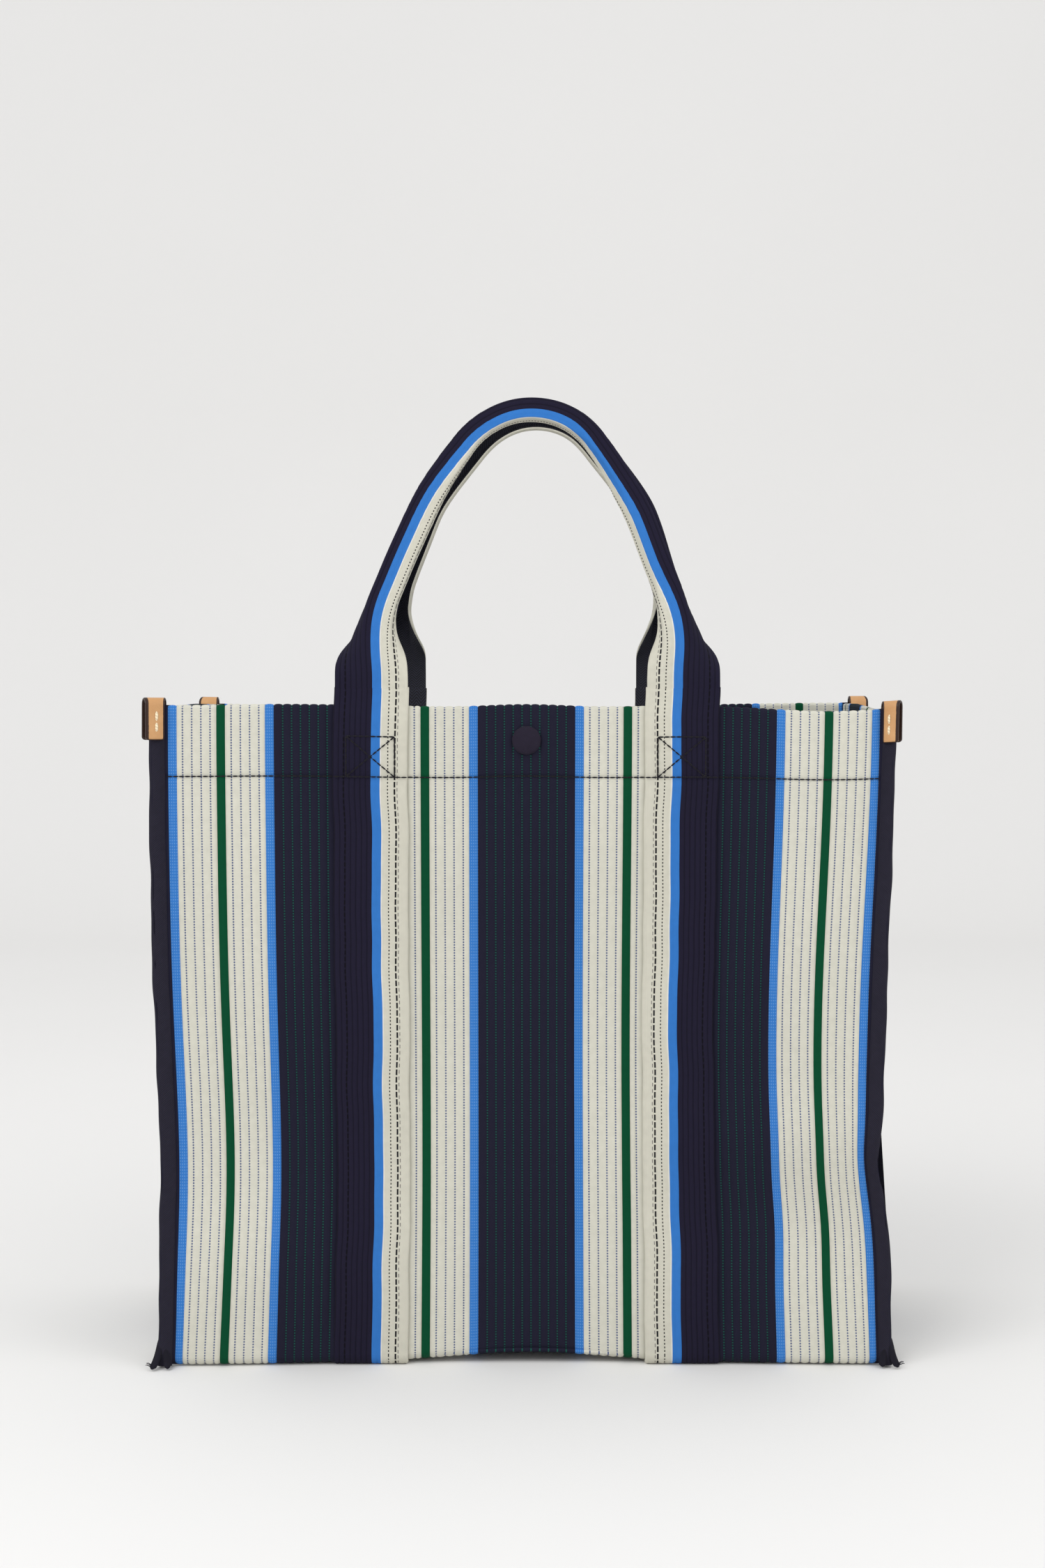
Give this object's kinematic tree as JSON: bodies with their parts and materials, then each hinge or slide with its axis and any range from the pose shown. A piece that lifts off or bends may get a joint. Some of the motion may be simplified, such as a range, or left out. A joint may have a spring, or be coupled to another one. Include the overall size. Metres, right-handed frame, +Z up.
{
  "type": "tote bag",
  "caption": "Open-topped ribbed cloth tote bag with bound side seams, leather seam tabs, a magnetic snap and folded strap handles that swing over its mouth.",
  "frame": {"origin": "centre of the underside, on the floor that the straps under the base rest on", "axes": "+Z up, -Y out of the front panel, +X to the right when the front is looked at"},
  "size_m": [0.4078, 0.1656, 0.5271],
  "materials": {
    "striped_cloth": "navy, blue, green and cream striped ribbed cloth",
    "binding_tape": "plain black-navy twill tape",
    "strap_cloth": "navy, blue and cream ribbed stripe",
    "tan_leather": "vegetable-tanned, dark painted edges",
    "cream_thread": "thick waxed thread",
    "dark_thread": "black sewing thread",
    "snap_metal": "nickel-plated, satin",
    "magnet": "sintered ferrite, matte",
    "snap_cloth": "navy cloth stretched over a cap",
    "herringbone_webbing": "navy and black herringbone"
  },
  "bodies": {
    "base": {"base_panel": "striped_cloth", "left_base_binding": "binding_tape", "right_base_binding": "binding_tape", "left_base_strap": "strap_cloth", "right_base_strap": "strap_cloth"},
    "front_panel": {"front_panel": "striped_cloth", "front_left_binding": "binding_tape", "front_right_binding": "binding_tape", "front_left_tab": "tan_leather", "front_right_tab": "tan_leather", "front_tab_stitches": "cream_thread", "front_left_strap": "strap_cloth", "front_right_strap": "strap_cloth", "front_box_stitches": "dark_thread", "front_hem_stitches": "dark_thread", "snap_socket": "snap_metal", "snap_magnet": "magnet", "snap_socket_cap": "snap_cloth"},
    "rear_panel": {"rear_panel": "striped_cloth", "rear_left_binding": "binding_tape", "rear_right_binding": "binding_tape", "rear_left_tab": "tan_leather", "rear_right_tab": "tan_leather", "rear_tab_stitches": "cream_thread", "rear_left_strap": "strap_cloth", "rear_right_strap": "strap_cloth", "rear_box_stitches": "dark_thread", "rear_hem_stitches": "dark_thread", "snap_stud": "snap_metal", "snap_stud_cap": "snap_cloth"},
    "front_left_gusset": {"front_left_gusset": "striped_cloth"},
    "front_right_gusset": {"front_right_gusset": "striped_cloth"},
    "front_risers": {"front_left_riser": "strap_cloth", "front_right_riser": "strap_cloth"},
    "front_handle": {"front_grip_cover": "strap_cloth", "front_grip_lining": "herringbone_webbing"},
    "rear_left_gusset": {"rear_left_gusset": "striped_cloth"},
    "rear_right_gusset": {"rear_right_gusset": "striped_cloth"},
    "rear_risers": {"rear_left_riser": "strap_cloth", "rear_right_riser": "strap_cloth"},
    "rear_handle": {"rear_grip_cover": "strap_cloth", "rear_grip_lining": "herringbone_webbing"}
  },
  "joints": [
    {"name": "front_panel_fold", "type": "hinge", "parent": "base", "child": "front_panel", "pos_m": [0, -0.0792, 0.003], "axis": [-1, 0, 0], "range_deg": [0, 12]},
    {"name": "rear_panel_fold", "type": "hinge", "parent": "base", "child": "rear_panel", "pos_m": [0, 0.0792, 0.003], "axis": [1, 0, 0], "range_deg": [0, 12]},
    {"name": "front_left_gusset_crease", "type": "hinge", "parent": "front_panel", "child": "front_left_gusset", "pos_m": [-0.1927, -0.076, 0.18], "axis": [0, 0, -1], "range_deg": [0, 87.6], "deforming": ["front_left_gusset"]},
    {"name": "front_right_gusset_crease", "type": "hinge", "parent": "front_panel", "child": "front_right_gusset", "pos_m": [0.1927, -0.076, 0.18], "axis": [0, 0, 1], "range_deg": [0, 87.6], "deforming": ["front_right_gusset"]},
    {"name": "front_riser_bend", "type": "hinge", "parent": "front_panel", "child": "front_risers", "pos_m": [0, -0.0827, 0.3563], "axis": [1, 0, 0], "range_deg": [0, 30]},
    {"name": "front_handle_swing", "type": "hinge", "parent": "front_risers", "child": "front_handle", "pos_m": [0, -0.0827, 0.372], "axis": [1, 0, 0], "range_deg": [-5, 158]},
    {"name": "rear_left_gusset_crease", "type": "hinge", "parent": "rear_panel", "child": "rear_left_gusset", "pos_m": [-0.1927, 0.076, 0.18], "axis": [0, 0, 1], "range_deg": [0, 87.6], "deforming": ["rear_left_gusset"]},
    {"name": "rear_right_gusset_crease", "type": "hinge", "parent": "rear_panel", "child": "rear_right_gusset", "pos_m": [0.1927, 0.076, 0.18], "axis": [0, 0, -1], "range_deg": [0, 87.6], "deforming": ["rear_right_gusset"]},
    {"name": "rear_riser_bend", "type": "hinge", "parent": "rear_panel", "child": "rear_risers", "pos_m": [0, 0.0827, 0.3563], "axis": [-1, 0, 0], "range_deg": [0, 30]},
    {"name": "rear_handle_swing", "type": "hinge", "parent": "rear_risers", "child": "rear_handle", "pos_m": [0, 0.0827, 0.372], "axis": [-1, 0, 0], "range_deg": [-5, 158]}
  ],
  "couplings": [
    {"joint": "rear_panel_fold", "follows": "front_panel_fold", "ratio": 1},
    {"joint": "front_left_gusset_crease", "follows": "front_panel_fold", "ratio": 7.3},
    {"joint": "front_right_gusset_crease", "follows": "front_panel_fold", "ratio": 7.3},
    {"joint": "front_riser_bend", "follows": "front_panel_fold", "ratio": 2.5},
    {"joint": "rear_left_gusset_crease", "follows": "front_panel_fold", "ratio": 7.3},
    {"joint": "rear_right_gusset_crease", "follows": "front_panel_fold", "ratio": 7.3},
    {"joint": "rear_riser_bend", "follows": "front_panel_fold", "ratio": 2.5}
  ]
}
